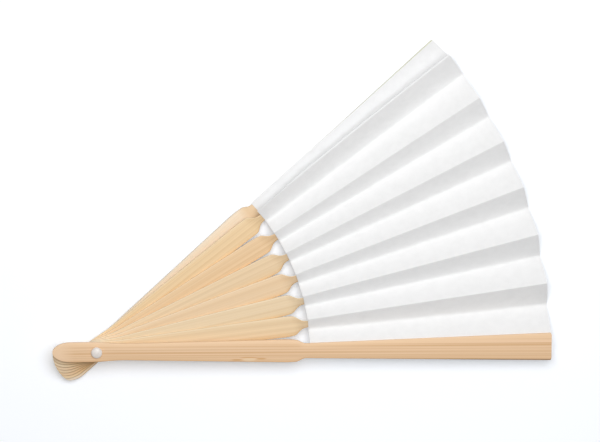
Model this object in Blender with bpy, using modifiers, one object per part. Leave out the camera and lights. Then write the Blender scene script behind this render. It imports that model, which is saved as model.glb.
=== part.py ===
# Paper hand fan with bamboo sticks, lying open.
# Metres, +Z up. The origin is the middle of the flat back of the rivet, on the pivot axis.
# +X runs along the front guard and the fan opens counter-clockwise seen from above.
import math

import bpy

# Fan as a whole
RIB_COUNT = 6
FIRST_TURN_DEG = 6.85          # front guard to the first rib, open
PLEAT_PITCH_DEG = 6.29         # one rib to the next, open
LAST_TURN_DEG = 2.29           # last rib to the rear guard, open
PANEL_TILT_DEG = 36.5          # slope of a glued panel across its rib, open
SEAT_GAP = 0.0003              # between faces that touch on the real fan

# Leaf, a pleated ring sector of paper
LEAF_INNER = 0.0983            # pivot to the inner edge
LEAF_OUTER = 0.2098            # pivot to the outer edge
PAPER_THICK = 0.00025
GLUE_GAP = 0.0002              # paper to the stick under it
CREASE_GAP = 0.0003            # between two panels at their crease
EDGE_MARGIN = 0.0003           # glued panel inside its guard's edge

# Outline shared by all the sticks, seen from above
TAIL_REACH = 0.0203            # pivot to the round end behind it
TAIL_ROUND = 0.0082
TAIL_WIDTH = 0.0093
TAIL_SHOULDER = 0.0030         # behind the pivot, where the tail starts to narrow
WAIST_REACH = 0.0127
WAIST_WIDTH = 0.0077
BELLY_ROUND_LENGTH = 0.0050    # before the shoulder, where the edges start to curve in
BELLY_DROP = 0.0005            # how much narrower that makes the shoulder
SHOULDER_LENGTH = 0.0045       # belly to neck
NECK_TO_LEAF = 0.0019          # the neck starts this far before the leaf
HUB_REACH = 0.0050             # flat round the rivet
EDGE_CUT = 0.00022             # broken edges of the bamboo

# Ribs
RIB_THICK = 0.0009
RIB_BELLY_WIDTH = 0.0095
NECK_WIDTH = 0.0047
SLIP_WIDTH = 0.0044            # where the leaf starts
SLIP_THICK = 0.00045           # the thin part that the leaf is glued on
SLIP_TIP_WIDTH = 0.0026
SLIP_TIP_MARGIN = 0.0078       # slip's end to the leaf's outer edge
TWIST_LENGTH = 0.0080          # it twists and thins over these lengths, up to the leaf
THINNING_LENGTH = 0.0125

# Guards, the two stout outer sticks
GUARD_PROUD = 0.0002           # its tip past the leaf's outer edge
GUARD_THICK = 0.0022
GUARD_BELLY_WIDTH = 0.0106
GUARD_LEAF_RECESS = 0.0009     # how much thinner a guard is where the leaf lies in it
GUARD_SLIP_EDGE_DEG = 2.13     # its leaf-side edge, seen from the pivot
GUARD_SLIP_LOW_START = 0.0034  # its other edge, beside the axis, at the shoulder
FRONT_SLIP_LOW_TIP = 0.0051    # and at the tip
REAR_SLIP_LOW_TIP = 0.0060
GUARD_TIP_ROUND = 0.0008
GUARD_EDGE_CUT = 0.0004
REAR_OFF_CENTRE = 0.0009       # how far the rear guard's middle line passes beside the pivot
REAR_CREASE_DEG = 0.85         # the leaf's last crease, inside the rear guard's angle
REAR_PAPER_OVERHANG = 0.0003   # the leaf past the rear guard's edge, at the leaf's inner edge
REAR_PAPER_MARGIN = 0.0004     # and inside it at the outer edge

# Rivet, a plastic pin with a domed head and a pressed-on cap
PIN_RADIUS = 0.0016
PIN_CLEARANCE = 0.0002         # to the holes in the sticks
HEAD_LIP = 0.00095             # head's edge past the pin
HEAD_RISE = 0.0011
HEAD_RIM = 0.0004
CAP_THICK = 0.0010
CAP_WALL = 0.0010              # cap's edge past the pin
CAP_EDGE = 0.0003
CAP_SOCKET_DEPTH = 0.0005
PRESS_CLEARANCE = 0.0001
HOLE_OVERRUN = 0.0010

# Tessellation
TAIL_STEPS = 7
BLADE_STEPS = 7
BELLY_STEPS = 4
SHOULDER_STEPS = 10
NECK_STEPS = 2
SLIP_STEPS = 6
TIP_STEPS = 3
PANEL_STEPS = 3
ROUND_STEPS = 32
HEAD_STEPS = 7

NECK_REACH = LEAF_INNER - NECK_TO_LEAF
SHOULDER_REACH = NECK_REACH - SHOULDER_LENGTH
BELLY_REACH = SHOULDER_REACH - BELLY_ROUND_LENGTH
GUARD_REACH = LEAF_OUTER + GUARD_PROUD
SLIP_TIP_REACH = LEAF_OUTER - SLIP_TIP_MARGIN
HEAD_RADIUS = PIN_RADIUS + HEAD_LIP
CAP_RADIUS = PIN_RADIUS + CAP_WALL
PANEL_HALF = math.radians(PLEAT_PITCH_DEG) / 4
PANEL_TILT = math.radians(PANEL_TILT_DEG)
RIB_SLOPE = PANEL_HALF * math.tan(PANEL_TILT)
RIB_PITCH = RIB_THICK + SEAT_GAP
REAR_BOTTOM = CAP_THICK + SEAT_GAP


def stick_angle(index):
    """Angle of a stick from the front guard: 0 is that guard, RIB_COUNT + 1 the rear one."""
    if index == 0:
        return 0
    ribs = math.radians(FIRST_TURN_DEG + PLEAT_PITCH_DEG * (min(index, RIB_COUNT) - 1))
    return ribs + (math.radians(LAST_TURN_DEG) if index > RIB_COUNT else 0)


def rib_top(index):
    """Height of a rib's upper face at the pivot."""
    return REAR_BOTTOM + GUARD_THICK + RIB_PITCH * (RIB_COUNT + 1 - index)


FRONT_BOTTOM = rib_top(1) + SEAT_GAP
FRONT_TOP = FRONT_BOTTOM + GUARD_THICK


def lift(reach):
    """Rise of a rib's axis. Along the leaf it runs straight from the pivot, like its creases."""
    if reach >= LEAF_INNER:
        return RIB_SLOPE * reach
    steeper = LEAF_INNER / (LEAF_INNER - HUB_REACH)
    return RIB_SLOPE * steeper * max(0, reach - HUB_REACH)


def between(start, end, value):
    """0 before start, 1 after end and a straight line between them."""
    return min(1, max(0, (value - start) / (end - start)))


def ease(start, end, value):
    """0 before start, 1 after end and an S-curve between them."""
    share = between(start, end, value)
    return share * share * (3 - 2 * share)


def mix(first, second, share):
    return first + (second - first) * share


def steps(start, end, count):
    return [mix(start, end, k / count) for k in range(1, count + 1)]


def blade_half_width(reach, belly):
    """Half the width of the bare part of a stick, from the round tail to the shoulder."""
    if reach < -TAIL_REACH + TAIL_ROUND:
        inward = (reach + TAIL_REACH - TAIL_ROUND) / TAIL_ROUND
        return TAIL_WIDTH / 2 * math.sqrt(max(0, 1 - inward * inward))
    waist = mix(TAIL_WIDTH, WAIST_WIDTH, ease(-TAIL_SHOULDER, WAIST_REACH, reach))
    widening = max(0, reach - WAIST_REACH) / (BELLY_REACH - WAIST_REACH)
    rounding = max(0, reach - BELLY_REACH) / BELLY_ROUND_LENGTH
    return (mix(waist, belly, min(1, widening)) - BELLY_DROP * rounding * rounding) / 2


def blade_stations():
    """Reaches from the tail's round end to the leaf, closer together where the outline curves."""
    reaches = tail_stations()
    reaches += steps(reaches[-1], HUB_REACH, TIP_STEPS)
    reaches += steps(HUB_REACH, BELLY_REACH, BLADE_STEPS)
    reaches += steps(BELLY_REACH, SHOULDER_REACH, BELLY_STEPS)
    reaches += steps(SHOULDER_REACH, NECK_REACH, SHOULDER_STEPS)
    reaches += steps(NECK_REACH, LEAF_INNER, NECK_STEPS)
    return reaches


def tail_stations():
    """Reaches along the round end, close together where it turns."""
    turns = [math.pi / 2 * k / TAIL_STEPS for k in range(1, TAIL_STEPS + 1)]
    first = turns[0] / 2
    return [-TAIL_REACH + TAIL_ROUND * (1 - math.cos(t)) for t in [first] + turns]


def ring(reach, low, high, bottom, top, cut, twist=0, centre=0):
    """Section of a stick across its length, a rectangle with broken edges, turned by twist
    about its upper middle."""
    corners = [
        (low + cut, bottom), (high - cut, bottom), (high, bottom + cut), (high, top - cut),
        (high - cut, top), (low + cut, top), (low, top - cut), (low, bottom + cut),
    ]
    turned = []
    for side, height in corners:
        across = side * math.cos(twist) - height * math.sin(twist)
        above = side * math.sin(twist) + height * math.cos(twist)
        turned.append((reach, across, centre + above))
    return turned


def loft(name, rings, material, frame):
    """Closed body through rings of as many points each, with flat ends."""
    verts = [point for one in rings for point in one]
    count = len(rings[0])
    faces = [tuple(range(count))[::-1]]
    for k in range(len(rings) - 1):
        for j in range(count):
            here, there = k * count + j, k * count + (j + 1) % count
            faces.append((here, there, there + count, here + count))
    faces.append(tuple(range(len(verts) - count, len(verts))))
    return add_object(name, verts, faces, material, frame)


def add_object(name, verts, faces, material, frame):
    mesh = bpy.data.meshes.new(name)
    mesh.from_pydata(verts, [], faces)
    mesh.validate()
    mesh.materials.append(material)
    obj = bpy.data.objects.new(name, mesh)
    fan.objects.link(obj)
    obj.parent = frame
    return obj


def make_material(name, colour, roughness, metallic=0):
    material = bpy.data.materials.new(name)
    material.use_nodes = True
    shader = material.node_tree.nodes["Principled BSDF"]
    shader.inputs["Base Color"].default_value = (*colour, 1)
    shader.inputs["Roughness"].default_value = roughness
    shader.inputs["Metallic"].default_value = metallic
    return material


def make_frame(index):
    """Empty on the pivot axis that carries one stick and the paper glued on it."""
    frame = bpy.data.objects.new("turn_%d" % index, None)
    frame.rotation_euler = (0, 0, stick_angle(index))
    fan.objects.link(frame)
    return frame


def drill(obj):
    """Cut the rivet's hole through a stick."""
    hole = obj.modifiers.new("rivet_hole", "BOOLEAN")
    hole.operation = "DIFFERENCE"
    hole.object = hole_cutter


def make_hole_cutter():
    bpy.ops.mesh.primitive_cylinder_add(
        vertices=ROUND_STEPS,
        radius=PIN_RADIUS + PIN_CLEARANCE,
        depth=FRONT_TOP + HOLE_OVERRUN * 2,
        location=(0, 0, FRONT_TOP / 2),
    )
    cutter = bpy.context.object
    cutter.name = "hole_cutter"
    for owner in list(cutter.users_collection):
        owner.objects.unlink(cutter)
    guides.objects.link(cutter)
    cutter.hide_render = True
    cutter.display_type = "WIRE"
    return cutter


def make_rib(index, frame):
    """Inner stick: a flat blade that narrows to a slip, which twists to lie along its panel."""
    rings = []
    for reach in blade_stations() + steps(LEAF_INNER, SLIP_TIP_REACH, SLIP_STEPS):
        neck = mix(NECK_WIDTH, SLIP_WIDTH, between(NECK_REACH, LEAF_INNER, reach))
        slip = mix(neck, SLIP_TIP_WIDTH, between(LEAF_INNER, SLIP_TIP_REACH, reach))
        half = mix(blade_half_width(reach, RIB_BELLY_WIDTH), slip / 2,
                   ease(SHOULDER_REACH, NECK_REACH, reach))
        thick = mix(RIB_THICK, SLIP_THICK, ease(LEAF_INNER - THINNING_LENGTH, LEAF_INNER, reach))
        twist = PANEL_TILT * ease(LEAF_INNER - TWIST_LENGTH, LEAF_INNER, reach)
        cut = min(EDGE_CUT, thick / 3)
        rings.append(ring(reach, -half, half, -thick, 0, cut, twist, rib_top(index) + lift(reach)))
    rib = loft("rib_%d" % index, rings, bamboo, frame)
    drill(rib)
    return rib


def guard_slip_edges(reach, low_tip):
    """Edges of a guard's slip beside its axis: the one on the leaf's side, and the other."""
    inner = reach * math.tan(math.radians(GUARD_SLIP_EDGE_DEG))
    outer = mix(GUARD_SLIP_LOW_START, low_tip, between(NECK_REACH, GUARD_REACH, reach))
    return inner, outer


def guard_edges(reach, low_tip):
    """Edges of a whole guard beside its middle line, in the same order."""
    blade = blade_half_width(reach, GUARD_BELLY_WIDTH)
    inner, outer = guard_slip_edges(reach, low_tip)
    narrowing = ease(SHOULDER_REACH, NECK_REACH, reach)
    rounding = GUARD_TIP_ROUND * between(GUARD_REACH - GUARD_TIP_ROUND, GUARD_REACH, reach)
    return mix(blade, inner, narrowing) - rounding, mix(blade, outer, narrowing) - rounding


def rear_skew(reach):
    """Place of the rear guard's middle line, which crosses the pivot's ray where the neck starts."""
    return REAR_OFF_CENTRE * (reach / NECK_REACH - 1)


def guard_reaches():
    reaches = blade_stations()
    reaches += steps(LEAF_INNER, GUARD_REACH - GUARD_TIP_ROUND, SLIP_STEPS)
    reaches += steps(GUARD_REACH - GUARD_TIP_ROUND, GUARD_REACH, TIP_STEPS)
    return reaches


def leaf_recess(reach):
    return GUARD_LEAF_RECESS * ease(SHOULDER_REACH, LEAF_INNER - EDGE_MARGIN, reach)


def front_under(reach):
    """Height of the front guard's underside, which clears every crease when the fan closes."""
    return FRONT_BOTTOM + 2 * lift(reach) + leaf_recess(reach)


def rear_upper(reach):
    """Height of the rear guard's upper face."""
    return REAR_BOTTOM + GUARD_THICK - leaf_recess(reach)


def make_front_guard(frame):
    rings = []
    for reach in guard_reaches():
        inner, outer = guard_edges(reach, FRONT_SLIP_LOW_TIP)
        top = FRONT_TOP + 2 * lift(reach)
        rings.append(ring(reach, -outer, inner, front_under(reach), top, GUARD_EDGE_CUT))
    guard = loft("front_guard", rings, guard_bamboo, frame)
    drill(guard)
    return guard


def make_rear_guard(frame):
    rings = []
    for reach in guard_reaches():
        inner, outer = guard_edges(reach, REAR_SLIP_LOW_TIP)
        skew = rear_skew(reach)
        rings.append(ring(reach, skew - inner, skew + outer, REAR_BOTTOM, rear_upper(reach),
                          GUARD_EDGE_CUT))
    guard = loft("rear_guard", rings, guard_bamboo, frame)
    drill(guard)
    return guard


def valley_crease(index):
    """Crease where a glued panel starts: its angle, and its height as a function of the reach."""
    if index <= RIB_COUNT:
        base = rib_top(index) + (GLUE_GAP + PAPER_THICK / 2) / math.cos(PANEL_TILT)
        return stick_angle(index) - PANEL_HALF, lambda reach: base
    angle = stick_angle(index) - math.radians(REAR_CREASE_DEG)
    return angle, lambda reach: rear_upper(LEAF_INNER) + GLUE_GAP + PAPER_THICK / 2


def mountain_crease(index):
    """Crease where a glued panel ends and the free one next to it starts."""
    if index > 0:
        base = rib_top(index) + (GLUE_GAP + PAPER_THICK / 2) / math.cos(PANEL_TILT)
        return stick_angle(index) + PANEL_HALF, lambda reach: base + 2 * RIB_SLOPE * reach
    angle = math.radians(GUARD_SLIP_EDGE_DEG)
    under = front_under(LEAF_INNER) - 2 * RIB_SLOPE * LEAF_INNER - GLUE_GAP - PAPER_THICK / 2
    return angle, lambda reach: under + 2 * RIB_SLOPE * reach


def make_sheet(name, rows, frame):
    """Paper panel over rows of points, each row running across it, thickened both ways."""
    verts = [point for row in rows for point in row]
    count = len(rows[0])
    faces = [(k, k + count, k + count + 1, k + 1) for k in range(count - 1)]
    panel = add_object(name, verts, faces, paper, frame)
    sheet = panel.modifiers.new("paper_thickness", "SOLIDIFY")
    sheet.thickness = PAPER_THICK
    sheet.offset = 0
    return panel


def make_panel(name, start, end, start_gap, frame):
    """Panel between two creases. Gaps to them are measured across the sheet."""
    from_angle, from_height = start
    to_angle, to_height = end
    turn = frame.rotation_euler.z
    rows = []
    for reach in (LEAF_INNER, LEAF_OUTER):
        rise = to_height(reach) - from_height(reach)
        across = math.hypot(reach * (to_angle - from_angle), rise)
        row = []
        for k in range(PANEL_STEPS + 1):
            share = mix(start_gap / across, 1 - CREASE_GAP / 2 / across, k / PANEL_STEPS)
            angle = mix(from_angle, to_angle, share) - turn
            row.append((reach * math.cos(angle), reach * math.sin(angle),
                        from_height(reach) + rise * share))
        rows.append(row)
    return make_sheet(name, rows, frame)


def front_panel_sides(reach):
    """Sides of the leaf's first panel, just inside the front guard's slip."""
    inner, outer = guard_slip_edges(reach, FRONT_SLIP_LOW_TIP)
    return EDGE_MARGIN - outer, inner - EDGE_MARGIN


def rear_panel_sides(reach):
    """Sides of the last panel: its crease, and its trimmed edge along the rear guard's edge."""
    crease = reach * math.tan(math.radians(REAR_CREASE_DEG))
    slip_edge = guard_slip_edges(reach, REAR_SLIP_LOW_TIP)[1] + rear_skew(reach)
    past = mix(REAR_PAPER_OVERHANG, -REAR_PAPER_MARGIN, between(LEAF_INNER, LEAF_OUTER, reach))
    return EDGE_MARGIN - crease, slip_edge + past


def make_guard_panel(name, height, sides, frame):
    """End panel of the leaf, glued flat in a guard's recess."""
    rows = []
    for reach in (LEAF_INNER, LEAF_OUTER):
        low, high = sides(reach)
        row = []
        for k in range(PANEL_STEPS + 1):
            side = mix(low, high, k / PANEL_STEPS)
            row.append((math.sqrt(reach * reach - side * side), side, height(reach)))
        rows.append(row)
    return make_sheet(name, rows, frame)


def sharp_gap():
    """How far from its mountain crease the last free panel starts, to clear the glued panel that
    it folds back under."""
    mountain, mountain_height = mountain_crease(RIB_COUNT)
    valley, valley_height = valley_crease(RIB_COUNT + 1)
    drop = mountain_height(LEAF_OUTER) - valley_height(LEAF_OUTER)
    slope = math.atan2(drop, LEAF_OUTER * (mountain - valley))
    return (PAPER_THICK + GLUE_GAP) / math.sin(slope - PANEL_TILT)


def make_leaf(frames):
    """Pleated leaf: a panel glued on every stick and a free one between each two."""
    last = RIB_COUNT + 1
    make_guard_panel("leaf_panel_front", mountain_crease(0)[1], front_panel_sides, frames[0])
    make_guard_panel("leaf_panel_rear", valley_crease(last)[1], rear_panel_sides, frames[last])
    for index in range(1, last):
        make_panel("leaf_panel_%d" % index, valley_crease(index), mountain_crease(index),
                   CREASE_GAP / 2, frames[index])
    for index in range(last):
        start_gap = CREASE_GAP / 2 if index < RIB_COUNT else sharp_gap()
        make_panel("leaf_fold_%d" % (index + 1), mountain_crease(index),
                   valley_crease(index + 1), start_gap, frames[index])


def turned(name, profile, material, frame):
    """Body of revolution about the pivot axis, its profile given from the top down."""
    obj = add_object(name, [(radius, 0, height) for radius, height in profile], [], material, frame)
    for k in range(len(profile) - 1):
        obj.data.edges.add(1)
        obj.data.edges[-1].vertices = (k, k + 1)
    screw = obj.modifiers.new("turn", "SCREW")
    screw.steps = ROUND_STEPS
    screw.render_steps = ROUND_STEPS
    screw.use_merge_vertices = True
    screw.merge_threshold = PRESS_CLEARANCE / 10
    screw.use_smooth_shade = True
    return obj


def make_rivet(frame):
    """Pin with a domed head on the front guard, and the cap pressed on its other end."""
    head_bottom = FRONT_TOP + SEAT_GAP
    dome = []
    for k in range(HEAD_STEPS + 1):
        turn = math.pi / 2 * k / HEAD_STEPS
        dome.append((HEAD_RADIUS * math.sin(turn),
                     head_bottom + HEAD_RIM + HEAD_RISE * math.cos(turn)))
    socket_floor = CAP_THICK - CAP_SOCKET_DEPTH
    pin_end = socket_floor + PRESS_CLEARANCE
    pin = dome + [(HEAD_RADIUS, head_bottom), (PIN_RADIUS, head_bottom),
                  (PIN_RADIUS, pin_end), (0, pin_end)]
    turned("rivet_pin", pin, plastic, frame)
    socket = PIN_RADIUS + PRESS_CLEARANCE
    cap = [(0, socket_floor), (socket, socket_floor), (socket, CAP_THICK),
           (CAP_RADIUS - CAP_EDGE, CAP_THICK), (CAP_RADIUS, CAP_THICK - CAP_EDGE),
           (CAP_RADIUS, CAP_EDGE), (CAP_RADIUS - CAP_EDGE, 0), (0, 0)]
    turned("rivet_cap", cap, plastic, frame)


for old in list(bpy.data.objects):
    bpy.data.objects.remove(old)

fan = bpy.data.collections.new("paper_hand_fan")
guides = bpy.data.collections.new("cutters")
bpy.context.scene.collection.children.link(fan)
bpy.context.scene.collection.children.link(guides)

bamboo = make_material("bamboo", (0.74, 0.56, 0.33), 0.5)
guard_bamboo = make_material("guard_bamboo", (0.74, 0.51, 0.29), 0.45)
paper = make_material("paper", (0.9, 0.9, 0.89), 0.85)
plastic = make_material("white_plastic", (0.86, 0.86, 0.84), 0.35)

hole_cutter = make_hole_cutter()
turn_frames = [make_frame(index) for index in range(RIB_COUNT + 2)]
make_front_guard(turn_frames[0])
for rib_index in range(1, RIB_COUNT + 1):
    make_rib(rib_index, turn_frames[rib_index])
make_rear_guard(turn_frames[-1])
make_leaf(turn_frames)
make_rivet(turn_frames[0])
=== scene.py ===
# Paper hand fan with bamboo sticks: finish, paper leaf, light and camera around the fixed frame.
# Metres, +Z up. The pivot is on the Z axis, +X runs along the front guard, the fan opens towards +Y.
import math

import bmesh
import bpy
from mathutils import Matrix, Vector, noise


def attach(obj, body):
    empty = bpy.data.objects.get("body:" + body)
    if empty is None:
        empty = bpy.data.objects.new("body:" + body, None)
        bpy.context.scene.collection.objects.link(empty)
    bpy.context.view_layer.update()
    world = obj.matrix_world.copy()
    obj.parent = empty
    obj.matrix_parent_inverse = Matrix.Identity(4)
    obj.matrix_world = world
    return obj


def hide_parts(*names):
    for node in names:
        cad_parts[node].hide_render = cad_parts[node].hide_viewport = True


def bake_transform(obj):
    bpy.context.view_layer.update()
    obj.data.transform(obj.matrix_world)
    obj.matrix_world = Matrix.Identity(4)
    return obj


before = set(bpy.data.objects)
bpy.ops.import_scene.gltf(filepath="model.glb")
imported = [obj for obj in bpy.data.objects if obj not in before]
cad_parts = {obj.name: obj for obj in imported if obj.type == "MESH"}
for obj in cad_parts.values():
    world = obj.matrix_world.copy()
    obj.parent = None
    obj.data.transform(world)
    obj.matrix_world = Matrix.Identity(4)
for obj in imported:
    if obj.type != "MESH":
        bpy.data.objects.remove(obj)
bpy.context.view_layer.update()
print("frame loaded,", len(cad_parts), "nodes")

scene = bpy.context.scene
scene.view_settings.view_transform = "Standard"

fan = {
    "ribCount": 6,
    "firstTurn": 6.85,        # degrees, front guard to the first rib
    "turn": 6.29,             # one rib to the next
    "lastTurn": 2.29,         # last rib to the rear guard
    "panelTilt": 36.5,        # degrees, slope of a panel glued on a rib
    "leafInner": 0.0983,
    "leafOuter": 0.2098,
    "hubReach": 0.005,        # the ribs lie level up to here
    "rearBottom": 0.0013,
    "guardThick": 0.0022,
    "ribPitch": 0.0012,
    "seatGap": 0.0003,
}
panelHalf = math.radians(fan["turn"]) / 4
panelTilt = math.radians(fan["panelTilt"])
ribSlope = panelHalf * math.tan(panelTilt)
lastStick = fan["ribCount"] + 1
lastPanel = 2 * lastStick     # panels count from 0, the even ones are glued on the sticks


def bodyName(index):
    if index == 0:
        return "front"
    return "rear" if index == lastStick else "stick_%d" % index


def stickAngle(index):
    if index == 0:
        return 0.0
    turned = fan["firstTurn"] + fan["turn"] * (min(index, fan["ribCount"]) - 1)
    return math.radians(turned + (fan["lastTurn"] if index == lastStick else 0))


def ribTop(index):
    return fan["rearBottom"] + fan["guardThick"] + fan["ribPitch"] * (lastStick - index)


def lift(reach):
    # along the leaf a rib's axis runs straight from the pivot, near the pivot it lies flat
    if reach >= fan["leafInner"]:
        return ribSlope * reach
    steeper = fan["leafInner"] / (fan["leafInner"] - fan["hubReach"])
    return ribSlope * steeper * max(0, reach - fan["hubReach"])


def mix(first, second, share):
    return first + (second - first) * share


def between(start, end, value):
    return min(1, max(0, (value - start) / (end - start)))


def ease(start, end, value):
    share = between(start, end, value)
    return share * share * (3 - 2 * share)


def alongLeaf(reach):
    # 0 at the leaf's inner edge, 1 at the outer one
    return between(fan["leafInner"], fan["leafOuter"], reach)


def quarterTurn(count, first=0):
    # sine and cosine at even steps over a quarter of a circle
    for k in range(first, count + 1):
        turn = math.pi / 2 * k / count
        yield math.sin(turn), math.cos(turn)


def linear(red, green, blue):
    # colours are written as on screen, 0 to 255
    values = []
    for level in (red, green, blue):
        level /= 255
        values.append(level / 12.92 if level <= 0.04045 else ((level + 0.055) / 1.055) ** 2.4)
    return (*values, 1)


def addMesh(name, verts, faces, material):
    mesh = bpy.data.meshes.new(name)
    mesh.from_pydata(verts, [], faces)
    mesh.materials.append(material)
    obj = bpy.data.objects.new(name, mesh)
    scene.collection.objects.link(obj)
    return obj


def smoothShade(obj, sharpest):
    obj.data.shade_smooth()
    obj.data.set_sharp_from_angle(angle=math.radians(sharpest))


# node helpers, tree is the node tree of a material or of the world

noiseSpan = (0.3, 0.7)        # most of a noise lies in here


def newMaterial(name):
    material = bpy.data.materials.new(name)
    material.use_nodes = True
    return material, material.node_tree, material.node_tree.nodes["Principled BSDF"]


def plug(tree, value, socket):
    # value is another node's output or a plain value
    if isinstance(value, bpy.types.NodeSocket):
        tree.links.new(value, socket)
    else:
        socket.default_value = value


def stretchedNoise(tree, source, grain, shift):
    scale, detail, roughness = grain
    mapping = tree.nodes.new("ShaderNodeMapping")
    mapping.inputs["Scale"].default_value = scale
    mapping.inputs["Location"].default_value = shift
    texture = tree.nodes.new("ShaderNodeTexNoise")
    texture.inputs["Scale"].default_value = 1.0
    texture.inputs["Detail"].default_value = detail
    texture.inputs["Roughness"].default_value = roughness
    tree.links.new(source, mapping.inputs["Vector"])
    tree.links.new(mapping.outputs["Vector"], texture.inputs["Vector"])
    return texture.outputs["Fac"]


def ramp(tree, source, positions, colours):
    node = tree.nodes.new("ShaderNodeValToRGB")
    elements = node.color_ramp.elements
    while len(elements) < len(colours):
        elements.new(0.5)
    for element, position, colour in zip(elements, positions, colours):
        element.position = position
        element.color = colour
    tree.links.new(source, node.inputs["Fac"])
    return node.outputs["Color"]


def blendColour(tree, factor, first, second):
    node = tree.nodes.new("ShaderNodeMix")
    node.data_type = "RGBA"
    for value, place in ((factor, 0), (first, 6), (second, 7)):     # the sockets of a colour mix
        plug(tree, value, node.inputs[place])
    return node.outputs[2]


def remap(tree, source, span, low, high):
    # low where source is at the start of span, high at its end
    start, end = span
    node = tree.nodes.new("ShaderNodeMapRange")
    for name, value in (("From Min", start), ("From Max", end), ("To Min", low), ("To Max", high)):
        node.inputs[name].default_value = value
    tree.links.new(source, node.inputs["Value"])
    return node.outputs["Result"]


def calculate(tree, operation, first, second):
    node = tree.nodes.new("ShaderNodeMath")
    node.operation = operation
    plug(tree, first, node.inputs[0])
    plug(tree, second, node.inputs[1])
    return node.outputs[0]


def addBump(tree, height, shader, look):
    bump = tree.nodes.new("ShaderNodeBump")
    bump.inputs["Distance"].default_value = look["bump"]
    bump.inputs["Strength"].default_value = look["bumpStrength"]
    tree.links.new(height, bump.inputs["Height"])
    tree.links.new(bump.outputs["Normal"], shader.inputs["Normal"])


# each grain is its scale, detail and roughness, each tone is against the stick's own colour
bambooLook = {
    "broad": ((5, 420, 1), 2.0, 0.5),
    "broadStops": (0.32, 0.5, 0.68),
    "deep": (0.985, 0.965, 0.93),
    "pale": 1.025,
    "strands": ((1.2, 1300, 1), 2.0, 0.6),
    "strandStops": (0.4, 0.47, 0.53, 0.6),
    "strand": (0.93, 0.875, 0.79),
    "strandPale": (1.04, 1.04, 1.07),
    "fine": ((12, 2400, 1), 3.0, 0.6),
    "apart": (3.1, 7.7, 1),           # from one stick's grain to the next
    "lineSpan": (0.45, 0.75),
    "line": (0.955, 0.88, 0.74),
    # painted shade along each stick's lower side, more orange
    "edge": (0.99, 0.93, 0.83),
    # painted highlight along each stick's upper edge
    "rim": (1.03, 1.06, 1.1),
    # painted light: the tails, which lie in the front guard's shadow, are made lighter
    "tail": (1.03, 1.04, 1.06),
    # painted shade along the lower side of the tails, between the layers
    "tailShadeTone": (0.76, 0.68, 0.56),
    "frontEdgeShade": (0.6, 0.53, 0.42),   # painted shade on the front guard's outer edge, turned from the light
    "rearEdgeShade": (0.89, 0.98, 0.99),       # painted shade on the rear guard's outer edge, greyer and less orange
    "neck": (0.955, 0.91, 0.84),
    "lit": 1.04,              # painted light on the upper side of a guard's face, painted shade on the lower one
    "dim": 0.985,
    "shadeStrength": 0.9,             # how strong the painted shade along a tail's edge and a guard's outer edge is
    "roughness": (0.45, 0.6),
    "specular": 0.3,
    "bump": 0.00003,
    "bumpStrength": 0.5,
}
# where a tone begins and where it is full: from -1 to 1 across the stick, or metres along it
bambooZones = {
    "lit": (0.25, 0.75),
    "dim": (-0.3, -0.95),
    # painted shade on a stick's lower side and painted highlight on its upper edge
    "edge": (-0.55, -1.0),
    "rim": (0.87, 0.95),
    # painted light on the tails and painted shade along their lower side
    "tail": (-0.010, -0.017),
    "tailLineShade": (-0.9, -0.96),
    "hub": (0.004, -0.001),
    "neck": (0.0905, 0.0945),
    # where the painted shade on a guard's outer edge lies
    "outer": (0.87, 0.93),
    "slip": (0.115, 0.175),
}
# a node of the bamboo on the front guard: reach and side of its middle, half length, half width
nodeMarks = {
    "patch": (0.0702, -0.0038, 0.0036, 0.0009),
    "patchTone": (1.03, 1.06, 1.08),
    "patchMask": (0.4, 0.85),         # full this far in from the rim, and how strong
    "dashes": [(0.0644, -0.0039, 0.003, 0.0005), (0.0756, -0.0034, 0.003, 0.0005),
               (0.07, -0.0028, 0.005, 0.00035)],
    "dashTone": (0.92, 0.84, 0.72),
    "dashMask": (0.5, 0.9),
}


def tinted(colour, tone):
    if isinstance(tone, float):
        tone = (tone,) * 3
    return linear(*(min(255, c * t) for c, t in zip(colour, tone)))


def spot(tree, source, place):
    # 1 in the middle of an ellipse, 0 outside it
    reach, side, halfLength, halfWidth = place
    mapping = tree.nodes.new("ShaderNodeMapping")
    mapping.inputs["Scale"].default_value = (1 / halfLength, 1 / halfWidth, 0)
    mapping.inputs["Location"].default_value = (-reach / halfLength, -side / halfWidth, 0)
    gradient = tree.nodes.new("ShaderNodeTexGradient")
    gradient.gradient_type = "SPHERICAL"
    tree.links.new(source, mapping.inputs["Vector"])
    tree.links.new(mapping.outputs["Vector"], gradient.inputs["Vector"])
    return gradient.outputs["Fac"]


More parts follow.
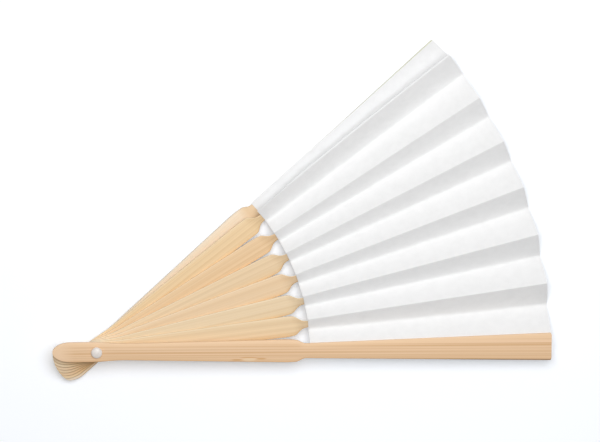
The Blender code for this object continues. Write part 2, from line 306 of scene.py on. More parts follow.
def makeBamboo(name, seed, look):
    # the first UV layer holds metres along and across the stick, so the grain runs with it,
    # the second one metres along and the place between its edges, from -1 to 1
    material, tree, shader = newMaterial(name)
    grain = tree.nodes.new("ShaderNodeUVMap")
    grain.uv_map = "grain"
    edges = tree.nodes.new("ShaderNodeUVMap")
    edges.uv_map = "edges"
    uv = grain.outputs["UV"]
    split = tree.nodes.new("ShaderNodeSeparateXYZ")
    tree.links.new(edges.outputs["UV"], split.inputs["Vector"])
    along, across = split.outputs["X"], split.outputs["Y"]
    colour = look["colour"]

    def tone(key):
        return tinted(colour, bambooLook[key])

    def zone(key, source, full=1.0, side=1):
        start, end = bambooZones[key]
        return remap(tree, source, (start * side, end * side), 0.0, full)

    # no two sticks show the same piece of the noise
    shift = [seed * apart for apart in bambooLook["apart"]]
    broad, fine, strands = (stretchedNoise(tree, uv, bambooLook[key], shift)
                            for key in ("broad", "fine", "strands"))
    plain = tinted(colour, 1.0)
    base = ramp(tree, broad, bambooLook["broadStops"], (tone("deep"), plain, tone("pale")))
    marks = ramp(tree, strands, bambooLook["strandStops"],
                 (tone("strand"), plain, plain, tone("strandPale")))
    base = blendColour(tree, look["lines"], base, marks)
    fibre = remap(tree, fine, bambooLook["lineSpan"], 0.0, look["fibre"])
    base = blendColour(tree, fibre, base, tone("line"))
    # painted light on the upper side of the guard's face, painted shade on the lower one
    if look.get("slope"):
        base = blendColour(tree, zone("lit", across, look["slope"]), base, tone("lit"))
        base = blendColour(tree, zone("dim", across, look["slope"]), base, tone("dim"))
    # painted shade along each stick's lower side
    base = blendColour(tree, zone("edge", across, look["edge"]), base, tone("edge"))
    # painted highlight along each stick's upper edge
    base = blendColour(tree, zone("rim", across, look["rim"]), base, tone("rim"))
    # painted light on the tails, which lie in the front guard's shadow
    base = blendColour(tree, zone("tail", along), base, tone("tail"))
    # painted shade: a dark line along the lower side of each tail, between the layers
    tailLineShade = calculate(tree, "MULTIPLY", zone("tailLineShade", across, bambooLook["shadeStrength"]), zone("hub", along))
    base = blendColour(tree, tailLineShade, base, tone("tailShadeTone"))
    if look.get("neck"):
        base = blendColour(tree, zone("neck", along, look["neck"]), base, tone("neck"))
    if look.get("outer"):
        # painted shade on a guard's outer edge beside the leaf: darker on the front one, greyer on the rear
        # one
        key, side, full = look["outer"]
        outer = calculate(tree, "MULTIPLY", zone("outer", across, bambooLook["shadeStrength"], side),
                          zone("slip", along, full))
        base = blendColour(tree, outer, base, tone(key))
    if look.get("node"):
        spots = [(place, "dash") for place in nodeMarks["dashes"]] + [(nodeMarks["patch"], "patch")]
        for place, kind in spots:
            inside, full = nodeMarks[kind + "Mask"]
            mask = remap(tree, spot(tree, uv, place), (0.0, inside), 0.0, full)
            base = blendColour(tree, mask, base, tinted(colour, nodeMarks[kind + "Tone"]))
    tree.links.new(base, shader.inputs["Base Color"])
    rough = remap(tree, fine, noiseSpan, *bambooLook["roughness"])
    tree.links.new(rough, shader.inputs["Roughness"])
    shader.inputs["Specular IOR Level"].default_value = bambooLook["specular"]
    addBump(tree, fine, shader, bambooLook)
    return material


paperLook = {
    "white": (248, 248, 248),
    "shade": (244, 244, 244),
    "rearWhiteShaded": (242, 242, 242),     # painted shade: the panel lying flat on the rear guard is a little darker
    "rearGreyShaded": (238, 238, 238),
    "cloud": ((260, 260, 260), 4.0, 0.65),
    "cloudStops": (0.3, 0.62),
    "fibre": ((1500, 900, 1500), 3.0, 0.6),
    "fibreShift": (3, 1, 2),
    "roughness": 0.9,
    "specular": 0.2,
    "bump": 0.00003,
    "bumpStrength": 0.5,
}


def makePaper(name, white, shade):
    material, tree, shader = newMaterial(name)
    place = tree.nodes.new("ShaderNodeTexCoord").outputs["Object"]
    cloud = stretchedNoise(tree, place, paperLook["cloud"], (0, 0, 0))
    fibre = stretchedNoise(tree, place, paperLook["fibre"], paperLook["fibreShift"])
    colour = ramp(tree, cloud, paperLook["cloudStops"], (linear(*shade), linear(*white)))
    tree.links.new(colour, shader.inputs["Base Color"])
    shader.inputs["Roughness"].default_value = paperLook["roughness"]
    shader.inputs["Specular IOR Level"].default_value = paperLook["specular"]
    addBump(tree, fibre, shader, paperLook)
    return material


plasticLook = {
    "shade": (232, 224, 217),
    "white": (244, 237, 231),
    "haze": ((900, 900, 900), 2.0, 0.5),
    "roughness": (0.26, 0.38),
    "bump": 0.00002,
    "bumpStrength": 0.3,
}


def makePlastic(name):
    material, tree, shader = newMaterial(name)
    place = tree.nodes.new("ShaderNodeTexCoord").outputs["Object"]
    haze = stretchedNoise(tree, place, plasticLook["haze"], (0, 0, 0))
    colour = ramp(tree, haze, noiseSpan, (linear(*plasticLook["shade"]), linear(*plasticLook["white"])))
    tree.links.new(colour, shader.inputs["Base Color"])
    rough = remap(tree, haze, noiseSpan, *plasticLook["roughness"])
    tree.links.new(rough, shader.inputs["Roughness"])
    addBump(tree, haze, shader, plasticLook)
    return material


# sticks

stickShape = {
    "tailReach": 0.0203,
    "tailRound": 0.0082,
    "tailWidth": 0.0093,
    "tailShoulder": 0.003,
    "waistReach": 0.0127,
    "waistWidth": 0.0077,
    "bellyRound": 0.005,
    "bellyDrop": 0.0005,
    "shoulderLength": 0.0045,
    "neckToLeaf": 0.0019,
    "leastHalf": 0.0001,      # half the width that a stick's end keeps
    "hole": 0.00175,
    "holeSides": 40,
    "drillLength": 0.05,
    "sharpest": 50,           # degrees, sharper edges aren't smoothed
}
# rings along a stick, close together round the tail, the shoulder and the tip
stickRings = {
    "tail": 18,
    "hubEnd": 0.02,
    "tipStart": 0.002,        # before the tip
    "counts": (16, 34, 24, 6, 44, 10),
    "first": 0.00002,         # the first ring isn't a point
}
sectionShape = {
    "cornerSteps": 3,
    "crownSteps": 6,
    "mostWide": 0.3,          # a rounded edge takes at most these shares of the width and the height
    "mostHigh": 0.45,
}
ribShape = {
    "thick": 0.00112,         # the blades almost touch, as the real ones do
    "belly": 0.0095,
    "uneven": (0.02, 2.4),    # share by which the bellies differ, and the step of the sine behind it
    "neck": 0.0047,
    "slip": 0.0044,
    "slipThick": 0.00045,
    "slipTip": 0.0026,
    "tipMargin": 0.0078,
    "twistLength": 0.008,
    "thinning": 0.0125,
    "edge": 0.00024,
    "crown": 0.00005,
    "lowTrim": {6: 0.0007, 5: 0.0004},    # these two are narrower on the front guard's side
    "trimStart": 0.03,
}
guardShape = {
    "belly": 0.0106,
    "proud": 0.0002,
    "recess": 0.0009,
    "slipEdge": 2.13,         # degrees at the pivot, the edge that the leaf folds from
    "lowStart": 0.0034,
    "lowTip": 0.0051,
    "rearLowTip": 0.006,
    "tipRound": 0.0008,
    "edge": 0.00042,
    "crown": 0.00008,
    "panelMargin": 0.0003,
    "rearOffCentre": 0.0009,  # how far the rear guard's middle line passes beside the pivot
    "rearCrease": 1.3,        # degrees, where the leaf folds onto the rear guard
    "rearOverhang": 0.00045,  # the leaf past the rear guard's edge at its inner end
    "rearMargin": 0.0004,     # and inside that edge at its outer end
    "rearFuller": 0.0005,
    "rearLate": 0.0013,
    "rearLonger": 0.0007,
    "sink": 0.0002,           # the front guard's lower face against the solid's
}
tailMiddle = -stickShape["tailReach"] + stickShape["tailRound"]
neckReach = fan["leafInner"] - stickShape["neckToLeaf"]
shoulderReach = neckReach - stickShape["shoulderLength"]
bellyReach = shoulderReach - stickShape["bellyRound"]
guardReach = fan["leafOuter"] + guardShape["proud"]
slipTipReach = fan["leafOuter"] - ribShape["tipMargin"]
frontBottom = ribTop(1) + fan["seatGap"]
frontTop = frontBottom + fan["guardThick"]


def bladeHalf(reach, belly):
    shape = stickShape
    if reach < tailMiddle:
        inward = (reach - tailMiddle) / shape["tailRound"]
        return shape["tailWidth"] / 2 * math.sqrt(max(0, 1 - inward * inward))
    waist = mix(shape["tailWidth"], shape["waistWidth"],
                ease(-shape["tailShoulder"], shape["waistReach"], reach))
    widening = between(shape["waistReach"], bellyReach, reach)
    rounding = max(0, reach - bellyReach) / shape["bellyRound"]
    return (mix(waist, belly, widening) - shape["bellyDrop"] * rounding * rounding) / 2


def guardEdges(reach, index):
    # beside the middle line: the edge on the leaf's side, and the outer one
    inner = reach * math.tan(math.radians(guardShape["slipEdge"]))
    tip = guardShape["rearLowTip" if index else "lowTip"]
    return inner, mix(guardShape["lowStart"], tip, between(neckReach, guardReach, reach))


def rearSkew(reach):
    # the rear guard's middle line crosses the pivot's ray where the neck starts
    return guardShape["rearOffCentre"] * (reach / neckReach - 1)


def guardRecess(reach):
    leafStart = fan["leafInner"] - guardShape["panelMargin"]
    return guardShape["recess"] * ease(shoulderReach, leafStart, reach)


def reaches(tip):
    rings = stickRings
    found = [tailMiddle - stickShape["tailRound"] * math.cos(math.pi / 2 * k / rings["tail"])
             for k in range(rings["tail"])]
    found[0] += rings["first"]
    stops = (tailMiddle, rings["hubEnd"], bellyReach, neckReach, fan["leafInner"],
             tip - rings["tipStart"], tip)
    for start, end, count in zip(stops, stops[1:], rings["counts"]):
        found += [mix(start, end, k / count) for k in range(count)]
    return found + [tip]


def section(low, high, bottom, top, edge, crown):
    # rectangle with rounded edges and a slightly crowned upper face, anticlockwise
    shape = sectionShape
    edge = min(edge, (high - low) * shape["mostWide"], (top - bottom) * shape["mostHigh"])
    points = []
    for side, height, start in ((high, bottom, -90), (high, top, 0), (low, top, 90), (low, bottom, 180)):
        centreSide = side - edge if side == high else side + edge
        centreHeight = height - edge if height == top else height + edge
        for k in range(shape["cornerSteps"] + 1):
            turn = math.radians(start + 90 * k / shape["cornerSteps"])
            points.append((centreSide + edge * math.cos(turn), centreHeight + edge * math.sin(turn)))
        if side == high and height == top:
            for k in range(1, shape["crownSteps"]):
                points.append((mix(high - edge, low + edge, k / shape["crownSteps"]), top))
    middle, half = (low + high) / 2, (high - low) / 2
    shaped = []
    for side, height in points:
        if height > (top + bottom) / 2:
            height += crown * (1 - ((side - middle) / half) ** 2) - crown
        shaped.append((side, height))
    return shaped


def makeStick(name, index, tip, sectionAt, material):
    # sectionAt(reach) gives points (side, height) round the stick there
    verts, grain, edges = [], [], []
    turn = Matrix.Rotation(stickAngle(index), 4, "Z")
    count = 0
    for reach in reaches(tip):
        ringPoints = sectionAt(reach)
        count = len(ringPoints)
        low, high = min(p[0] for p in ringPoints), max(p[0] for p in ringPoints)
        for side, height in ringPoints:
            verts.append(turn @ Vector((reach, side, height)))
            grain.append((reach, side))
            edges.append((reach, (2 * side - low - high) / (high - low)))
    faces = []
    rings = len(verts) // count
    for k in range(rings - 1):
        for j in range(count):
            here, there = k * count + j, k * count + (j + 1) % count
            faces.append((here, there, there + count, here + count))
    faces.append(tuple(range(count))[::-1])
    faces.append(tuple(range((rings - 1) * count, rings * count)))
    stick = addMesh(name, verts, faces, material)
    for layerName, places in (("grain", grain), ("edges", edges)):
        layer = stick.data.uv_layers.new(name=layerName)
        for loop in stick.data.loops:
            layer.data[loop.index].uv = places[loop.vertex_index]
    drillHole(stick)
    smoothShade(stick, stickShape["sharpest"])
    return stick


def drillHole(stick):
    bpy.ops.mesh.primitive_cylinder_add(vertices=stickShape["holeSides"], radius=stickShape["hole"],
                                        depth=stickShape["drillLength"])
    cutter = bpy.context.object
    hole = stick.modifiers.new("hole", "BOOLEAN")
    hole.operation = "DIFFERENCE"
    hole.object = cutter
    bpy.context.view_layer.update()
    cut = bpy.data.meshes.new_from_object(stick.evaluated_get(bpy.context.evaluated_depsgraph_get()))
    stick.modifiers.clear()
    stick.data = cut
    bpy.data.objects.remove(cutter)


def makeRib(index, material):
    shape = ribShape
    leafStart = fan["leafInner"]
    share, step = shape["uneven"]
    belly = shape["belly"] * (1 + share * math.sin(index * step))

    def sectionAt(reach):
        neck = mix(shape["neck"], shape["slip"], between(neckReach, leafStart, reach))
        slip = mix(neck, shape["slipTip"], between(leafStart, slipTipReach, reach))
        half = mix(bladeHalf(reach, belly), slip / 2, ease(shoulderReach, neckReach, reach))
        half = max(half, stickShape["leastHalf"])
        thick = mix(shape["thick"], shape["slipThick"], ease(leafStart - shape["thinning"], leafStart, reach))
        twist = panelTilt * ease(leafStart - shape["twistLength"], leafStart, reach)
        centre = ribTop(index) + lift(reach)
        onBlade = ease(shape["trimStart"], bellyReach, reach) * ease(neckReach, bellyReach, reach)
        trim = shape["lowTrim"].get(index, 0) * onBlade
        placed = []
        for side, height in section(trim - half, half, -thick, 0, shape["edge"], shape["crown"]):
            placed.append((side * math.cos(twist) - height * math.sin(twist),
                           centre + side * math.sin(twist) + height * math.cos(twist)))
        return placed

    rib = makeStick("ribStick%d" % index, index, slipTipReach, sectionAt, material)
    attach(rib, bodyName(index))
    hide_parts("rib_%d" % index)


def makeGuard(name, index, material):
    shape = guardShape
    tip = guardReach + (shape["rearLonger"] if index else 0)

    def sectionAt(reach):
        blade = bladeHalf(reach, shape["belly"])
        inner, outer = guardEdges(reach, index)
        narrowing = ease(shoulderReach, neckReach, reach)
        outerBlade, outerNarrowing = blade, narrowing
        if index:
            # the rear guard's outer edge is a little fuller and keeps its width nearly up to the leaf
            outerBlade += shape["rearFuller"] * between(0, bellyReach, reach)
            outerNarrowing = ease(shoulderReach + shape["rearLate"], neckReach + shape["rearLate"], reach)
        past = between(tip - shape["tipRound"], tip, reach)
        rounding = shape["tipRound"] * (1 - math.sqrt(max(0, 1 - past * past)))
        inner = max(stickShape["leastHalf"], mix(blade, inner, narrowing) - rounding)
        outer = max(stickShape["leastHalf"], mix(outerBlade, outer, outerNarrowing) - rounding)
        if index:
            low, high = rearSkew(reach) - inner, rearSkew(reach) + outer
            bottom = fan["rearBottom"]
            top = fan["rearBottom"] + fan["guardThick"] - guardRecess(reach)
        else:
            low, high = -outer, inner
            bottom = frontBottom - shape["sink"] + 2 * lift(reach) + guardRecess(reach)
            top = frontTop + 2 * lift(reach)
        return section(low, high, bottom, top, shape["edge"], shape["crown"])

    guard = makeStick(name, index, tip, sectionAt, material)
    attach(guard, bodyName(index))
    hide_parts("front_guard" if index == 0 else "rear_guard")


# leaf

leafShape = {
    "thick": 0.00013,
    "seat": 0.00016,          # the paper lies this much lower than the middle of the sheet's room
    "room": 0.000325,         # rib's face to the middle of the sheet's room
    "valleySoft": 0.00042,    # height that the round bottom of a valley takes
    "mountainSoft": 0.00007,
    "level": 0.0005,          # a panel that rises less than this has no soft creases
    "bow": 0.0002,            # sag of the free panels and crown of the glued ones, against the reach
    "crown": 0.0013,
    "wave": 0.00012,
    "waveScale": (26, 0.9),   # along the reach and from panel to panel
    "waveInner": 0.3,         # share of the wave that is left at the inner edge
    "waveFade": 0.3,          # of a panel, before the last free one
    "lip": 0.0008,            # how far the last free panel stands out beside its mountain crease
    "lipShare": 0.07,
    "lipZone": (0.05, 0.25),
    # degrees that the last mountain crease lies further on, at its inner and its outer end
    "lastWider": (1.15, 0.2),
    "lastWiderPower": 1.2,
    # the trimmed edge isn't quite round: how far it stands out, by the place across the leaf
    "edgeExtra": [(0, 0), (2, 0.0003), (4, 0.0004), (6, 0.0007), (8, 0.00085), (10, 0.001),
                  (11, 0.0013), (12, 0.0019), (14, 0.0019), (15, 0.0009)],
    "panelRows": 60,
    "bands": 6,               # a free panel is cut across into bands
    "bandRows": 10,
    "sharpest": 40,
}
# places across a panel, close together near its soft creases
sheetShares = [0, 0.02, 0.045, 0.075, 0.11, 0.16, 0.24, 0.34, 0.45]
sheetShares += [1 - share for share in sheetShares[::-1]]


def creaseLine(step, reach):
    # angle and height of crease number step at that reach: even are valleys, odd are mountains
    index = step // 2
    if index == 0:
        angle = math.radians(guardShape["slipEdge"])
        if step == 0:
            angle = -math.asin((guardEdges(reach, 0)[1] - guardShape["panelMargin"]) / reach)
        under = frontBottom + guardShape["recess"] - leafShape["room"]
        return angle, under + 2 * ribSlope * reach
    if index < lastStick:
        base = ribTop(index) + leafShape["room"] / math.cos(panelTilt)
        if step % 2 == 0:
            return stickAngle(index) - panelHalf, base
        wider = 0
        if index == fan["ribCount"]:
            start, end = leafShape["lastWider"]
            wider = math.radians(mix(start, end, alongLeaf(reach) ** leafShape["lastWiderPower"]))
        return (stickAngle(index) + panelHalf + wider,
                base + 2 * ribSlope * reach + wider * reach * math.tan(panelTilt))
    flat = fan["rearBottom"] + fan["guardThick"] - guardShape["recess"] + leafShape["room"]
    if step % 2 == 0:
        return stickAngle(lastStick) - math.radians(guardShape["rearCrease"]), flat
    past = mix(guardShape["rearOverhang"], -guardShape["rearMargin"], alongLeaf(reach))
    side = guardEdges(reach, lastStick)[1] + rearSkew(reach) + past
    return stickAngle(lastStick) + math.asin(side / reach), flat


def softness(step):
    # the creases of the panels on the two guards are sharp
    if step in (0, 1, lastPanel, lastPanel + 1):
        return 0
    return leafShape["mountainSoft"] if step % 2 else leafShape["valleySoft"]


def leafPoint(place, reach):
    # place runs across the whole leaf, one unit for each panel
    shape = leafShape
    step = min(lastPanel, int(place))
    share = place - step
    fromAngle, fromHeight = creaseLine(step, reach)
    toAngle, toHeight = creaseLine(step + 1, reach)
    rise = toHeight - fromHeight
    shaped = share
    if abs(rise) > shape["level"]:
        near, far = 2 * softness(step) / abs(rise), 2 * softness(step + 1) / abs(rise)
        if share < near:
            shaped = share * share / (2 * near) + near / 2
        elif share > 1 - far:
            back = 1 - share
            shaped = 1 - (back * back / (2 * far) + far / 2)
    height = fromHeight + rise * shaped - shape["seat"]
    angle = mix(fromAngle, toAngle, share)
    lastFree = lastPanel - 1
    if 1 <= step < lastFree:
        bow = -shape["bow"] if step % 2 else shape["crown"]
        swell = 4 * share * (1 - share)
        height += bow * swell * reach
        alongScale, acrossScale = shape["waveScale"]
        wavy = noise.noise(Vector((reach * alongScale, place * acrossScale, 0.0)))
        wavy *= mix(shape["waveInner"], 1, alongLeaf(reach))
        height += shape["wave"] * wavy * ease(lastFree, lastFree - shape["waveFade"], place)
    elif step == lastFree:
        peak = shape["lipShare"]
        out = math.sin(math.pi / 2 * share / peak) if share < peak else (1 - share) / (1 - peak)
        angle += shape["lip"] * ease(*shape["lipZone"], alongLeaf(reach)) * out / reach
    return Vector((reach * math.cos(angle), reach * math.sin(angle), height))


def trimmed(place, reach):
    # moves the outer edge out to where it is at that place
    marks = leafShape["edgeExtra"]
    for (first, low), (second, high) in zip(marks, marks[1:]):
        if first <= place <= second:
            extra = mix(low, high, (place - first) / (second - first))
    return reach + extra * alongLeaf(reach)


def leafNormal(place, reach):
    aside, further = 0.004, 0.0002        # small steps, in panels and in metres
    left, right = max(0, place - aside), min(lastPanel + 1, place + aside)
    across = leafPoint(right, reach) - leafPoint(left, reach)
    along = leafPoint(place, reach + further) - leafPoint(place, reach - further)
    return along.cross(across).normalized()


def makeLeafPiece(name, step, start, end, rows, material):
    # closed thin sheet over panel number step, from reach start to end
    places = [step + share for share in sheetShares]
    half = leafShape["thick"] / 2
    top, bottom = [], []
    for k in range(rows + 1):
        reach = mix(start, end, k / rows)
        for place in places:
            there = trimmed(place, reach)
            point, normal = leafPoint(place, there), leafNormal(place, there)
            if place in (0, lastPanel + 1):
                normal = Vector((0, 0, 1))
            top.append(point + normal * half)
            bottom.append(point - normal * half)
    width, count = len(places), len(top)
    faces = []
    for k in range(rows):
        for j in range(width - 1):
            a = k * width + j
            faces.append((a, a + width, a + width + 1, a + 1))
            faces.append((a + count, a + 1 + count, a + width + 1 + count, a + width + count))
    rim = list(range(width)) + [k * width + width - 1 for k in range(1, rows + 1)]
    rim += [rows * width + j for j in range(width - 2, -1, -1)]
    rim += [k * width for k in range(rows - 1, 0, -1)]
    for here, there in zip(rim, rim[1:] + rim[:1]):
        faces.append((here, there, there + count, here + count))
    piece = addMesh(name, top + bottom, faces, material)
    smoothShade(piece, leafShape["sharpest"])
    check = bmesh.new()
    check.from_mesh(piece.data)
    if check.calc_volume(signed=True) < 0:
        bmesh.ops.reverse_faces(check, faces=check.faces)
        check.to_mesh(piece.data)
    check.free()
    return piece


def makeLeaf():
    paper = makePaper("whitePaper", paperLook["white"], paperLook["shade"])
    # painted shade: the panel on the rear guard gets a darker paper
    shadedRearPaper = makePaper("shadedPaperRear", paperLook["rearWhiteShaded"], paperLook["rearGreyShaded"])
    inner, outer = fan["leafInner"], fan["leafOuter"]
    names = {0: "leaf_panel_front", lastStick: "leaf_panel_rear"}
    for index in range(lastStick + 1):
        panel = makeLeafPiece("leafPanel%d" % index, index * 2, inner, outer, leafShape["panelRows"],
                              shadedRearPaper if index == lastStick else paper)
        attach(panel, bodyName(index))
        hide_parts(names.get(index, "leaf_panel_%d" % index))
    for index in range(lastStick):
        step = index * 2 + 1
        for band in range(leafShape["bands"]):
            start = inner * (outer / inner) ** (band / leafShape["bands"])
            end = inner * (outer / inner) ** ((band + 1) / leafShape["bands"])
            name = "leafFold%d%s" % (index + 1, chr(ord("a") + band))
            fold = makeLeafPiece(name, step, start, end, leafShape["bandRows"], paper)
            middle = math.sqrt(start * end)
            first, second = leafPoint(step, middle), leafPoint(step + 1, middle)
            # points on its two creases at the band's middle reach, level for all but the last fold, which
            # hardly turns, and one above the other for that one; nothing uses them
            if index < lastStick - 1:
                first.z = second.z = 0
            else:
                second.xy = first.xy
            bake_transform(fold)
            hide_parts("leaf_fold_%d" % (index + 1))


# rivet

rivetShape = {
    "pin": 0.0016,
    "pinEnd": 0.0006,
    "head": 0.00255,
    "rise": 0.0011,
    "rim": 0.0004,
    "tuck": 0.00015,          # the rim of the head narrows by this towards the guard
    "cap": 0.0026,
    "capThick": 0.001,
    "capFloor": 0.0005,
    "fit": 0.0001,            # room round the pin in the cap
    "edge": 0.0003,
    "domeSteps": 16,
    "rimSteps": 4,
    "edgeSteps": 6,
    "around": 72,
    "sharpest": 40,
}


def revolve(name, profile, material):
    # profile of (radius, height) from the top down, ends on the axis
    count = rivetShape["around"]
    verts, faces = [], []
    inside = profile[1:-1]
    verts.append((0, 0, profile[0][1]))
    for radius, height in inside:
        for k in range(count):
            turn = 2 * math.pi * k / count
            verts.append((radius * math.cos(turn), radius * math.sin(turn), height))
    verts.append((0, 0, profile[-1][1]))
    last = len(verts) - 1
    for k in range(count):
        n = (k + 1) % count
        faces.append((0, 1 + k, 1 + n))
        for row in range(len(inside) - 1):
            a = 1 + row * count
            faces.append((a + k, a + count + k, a + count + n, a + n))
        a = 1 + (len(inside) - 1) * count
        faces.append((a + n, a + k, last))
    obj = addMesh(name, verts, faces, material)
    smoothShade(obj, rivetShape["sharpest"])
    return obj


def makeRivet(material):
    shape = rivetShape
    seat = frontTop + fan["seatGap"]
    rim = seat + shape["rim"]
    pin = []
    for out, up in quarterTurn(shape["domeSteps"]):
        pin.append((shape["head"] * out, rim + shape["rise"] * up))
    for down, aside in quarterTurn(shape["rimSteps"], 1):
        pin.append((shape["head"] - shape["tuck"] * (1 - aside), seat + shape["rim"] * (1 - down)))
    pin += [(shape["pin"], seat), (shape["pin"], shape["pinEnd"]), (0, shape["pinEnd"])]
    head = revolve("rivetPin", pin, material)
    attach(head, "front")
    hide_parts("rivet_pin")
    bore, fit, edge = shape["pin"] + shape["fit"], shape["fit"], shape["edge"]
    cap = [(0, shape["capFloor"]), (bore, shape["capFloor"]), (bore, shape["capThick"] - fit),
           (bore + fit, shape["capThick"]), (shape["cap"] - edge, shape["capThick"])]
    for out, up in quarterTurn(shape["edgeSteps"], 1):
        cap.append((shape["cap"] - edge * (1 - out), shape["capThick"] - edge * (1 - up)))
    for down, aside in quarterTurn(shape["edgeSteps"]):
        cap.append((shape["cap"] - edge * (1 - aside), edge * (1 - down)))
    cap.append((0, 0))
    foot = revolve("rivetCap", cap, material)
    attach(foot, "front")
    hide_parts("rivet_cap")


# colour of each stick from the front guard to the rear one, and how strong its marks and its painted light
# and shade are, outer is the tone, the side and the strength of the painted shade on a guard's outer edge
# beside the leaf
stickLooks = {
    0: {"colour": (238, 203, 165), "lines": 0.9, "fibre": 0.3, "edge": 0.6, "rim": 0.3, "node": True,
        "slope": 0.9, "outer": ("frontEdgeShade", -1, 0.9)},
    1: {"colour": (238, 212, 174), "lines": 0.25, "fibre": 0.15, "edge": 0.9, "rim": 0.9},
    2: {"colour": (239, 215, 179), "lines": 0.2, "fibre": 0.15, "edge": 0.9, "rim": 0.9},
    3: {"colour": (242, 213, 176), "lines": 0.25, "fibre": 0.15, "edge": 0.9, "rim": 0.9},
    4: {"colour": (239, 212, 174), "lines": 0.25, "fibre": 0.2, "edge": 0.9, "rim": 0.9},
    5: {"colour": (241, 208, 166), "lines": 0.35, "fibre": 0.25, "edge": 0.7, "rim": 0.9},
    6: {"colour": (244, 215, 172), "lines": 0.35, "fibre": 0.25, "edge": 0.6, "rim": 0.6},
    7: {"colour": (246, 226, 199), "lines": 0.2, "fibre": 0.15, "edge": 0.5, "rim": 0.1, "neck": 1.0,
        "outer": ("rearEdgeShade", 1, 1.0)},
}
for index, look in stickLooks.items():
    bamboo = makeBamboo("bamboo%d" % index, index + 1, look)
    if index in (0, lastStick):
        makeGuard("guardFront" if index == 0 else "guardRear", index, bamboo)
    else:
        makeRib(index, bamboo)
print("sticks built")
makeLeaf()
print("leaf built")
makeRivet(makePlastic("whitePlastic"))
print("rivet built")

# floor, light and camera

stageLook = {
    "reach": 3.0,
    "clear": 0.00004,         # under the points that the fan rests on
    "floor": (239, 243, 249),
    "roughness": 0.95,
    "glow": 0.27,             # only for rays that show the floor, so that it looks white
    "world": 0.24,
}


def restingPlane():
    # the fan rests on the rivet's cap, the rear guard's tip and the first valley's outer end
    rim = rivetShape["cap"] - rivetShape["edge"]
    cap = Vector((rim, -rim, 0)).normalized() * rim
    tipReach = guardReach + guardShape["rearLonger"]
    tip = Matrix.Rotation(stickAngle(lastStick), 3, "Z") @ Vector((tipReach, 0, fan["rearBottom"]))
    fold = leafPoint(2, trimmed(2, fan["leafOuter"])) - Vector((0, 0, leafShape["thick"]))
    normal = (tip - cap).cross(fold - cap).normalized()
    return cap, normal if normal.z > 0 else -normal


def seenRays(tree, path):
    # 1 for a ray that shows the white room: the camera's own, one off a gloss or through something clear
    seen = path.outputs["Is Camera Ray"]
    for name in ("Is Glossy Ray", "Is Transmission Ray"):
        seen = calculate(tree, "MAXIMUM", seen, path.outputs[name])
    return seen


def makeFloor():
    material, tree, shader = newMaterial("paleFloor")
    shader.inputs["Base Color"].default_value = linear(*stageLook["floor"])
    shader.inputs["Roughness"].default_value = stageLook["roughness"]
    shader.inputs["Specular IOR Level"].default_value = 0.0
    shader.inputs["Emission Color"].default_value = (1, 1, 1, 1)
    path = tree.nodes.new("ShaderNodeLightPath")
    glow = calculate(tree, "MULTIPLY", seenRays(tree, path), stageLook["glow"])
    tree.links.new(glow, shader.inputs["Emission Strength"])
    # seen from below the floor is clear, so that the back of the fan shows
    geometry = tree.nodes.new("ShaderNodeNewGeometry")
    below = calculate(tree, "MULTIPLY", path.outputs["Is Camera Ray"], geometry.outputs["Backfacing"])
    clear = tree.nodes.new("ShaderNodeBsdfTransparent")
    cleared = tree.nodes.new("ShaderNodeMixShader")
    for place, output in enumerate((below, shader.outputs["BSDF"], clear.outputs["BSDF"])):
        tree.links.new(output, cleared.inputs[place])
    tree.links.new(cleared.outputs["Shader"], tree.nodes["Material Output"].inputs["Surface"])
    reach = stageLook["reach"]
    corners = [(-reach, -reach, 0), (reach, -reach, 0), (reach, reach, 0), (-reach, reach, 0)]
    floor = addMesh("paleFloor", corners, [(0, 1, 2, 3)], material)
    point, normal = restingPlane()
    floor.rotation_euler = normal.to_track_quat("Z", "Y").to_euler()
    floor.location = point - normal * stageLook["clear"]


def makeRoom():
    room = bpy.data.worlds.new("whiteRoom")
    scene.world = room
    room.use_nodes = True
    tree = room.node_tree
    back = tree.nodes["Background"]
    back.inputs["Color"].default_value = (1, 1, 1, 1)
    seen = seenRays(tree, tree.nodes.new("ShaderNodeLightPath"))
    tree.links.new(remap(tree, seen, (0.0, 1.0), stageLook["world"], 1.0), back.inputs["Strength"])


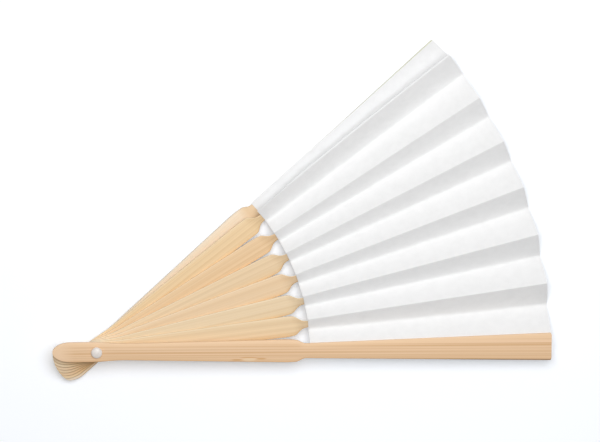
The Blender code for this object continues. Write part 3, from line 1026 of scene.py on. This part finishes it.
lampSetup = {
    "target": (0.1, 0.085, 0.0),
    "azimuth": 93,            # degrees
    "elevation": 74,
    "distance": 0.65,
    "size": 0.5,
    "power": 3.39,
}


def makeLamp():
    setup = lampSetup
    azimuth, elevation = math.radians(setup["azimuth"]), math.radians(setup["elevation"])
    away = Vector((math.cos(elevation) * math.cos(azimuth), math.cos(elevation) * math.sin(azimuth),
                   math.sin(elevation)))
    light = bpy.data.lights.new("keyLight", "AREA")
    light.shape = "DISK"
    light.size = setup["size"]
    light.energy = setup["power"]
    lamp = bpy.data.objects.new("keyLight", light)
    lamp.location = Vector(setup["target"]) + away * setup["distance"]
    lamp.rotation_euler = (-away).to_track_quat("-Z", "Y").to_euler()
    scene.collection.objects.link(lamp)


cameraPlace = {
    "target": (0.09429, 0.05904, 0.006),
    "distance": 1.35,
    "tilt": 10.263,           # degrees from straight down
    "azimuth": 119.458,       # degrees, the side that it leans to
    "roll": 0.1658,
    "focalPixels": 2924.1,    # for a picture 600 pixels wide
    "pictureWidth": 600,
    "sensor": 36,             # millimetres
    "clip": (0.01, 50),
}


def makeCamera():
    place = cameraPlace
    tilt, azimuth, roll = (math.radians(place[key]) for key in ("tilt", "azimuth", "roll"))
    away = Vector((math.sin(tilt) * math.cos(azimuth), math.sin(tilt) * math.sin(azimuth), math.cos(tilt)))
    up = Vector((-math.sin(roll), math.cos(roll), 0))
    up = (up - away * up.dot(away)).normalized()
    right = up.cross(away)
    camera = bpy.data.objects.new("camera", bpy.data.cameras.new("camera"))
    camera.data.sensor_width = place["sensor"]
    camera.data.lens = place["focalPixels"] * place["sensor"] / place["pictureWidth"]
    camera.data.clip_start, camera.data.clip_end = place["clip"]
    camera.matrix_world = Matrix((
        (right.x, up.x, away.x, 0), (right.y, up.y, away.y, 0), (right.z, up.z, away.z, 0), (0, 0, 0, 1)))
    camera.location = Vector(place["target"]) + away * place["distance"]
    scene.collection.objects.link(camera)
    scene.camera = camera


makeFloor()
makeRoom()
makeLamp()
makeCamera()
print("floor, light and camera placed")
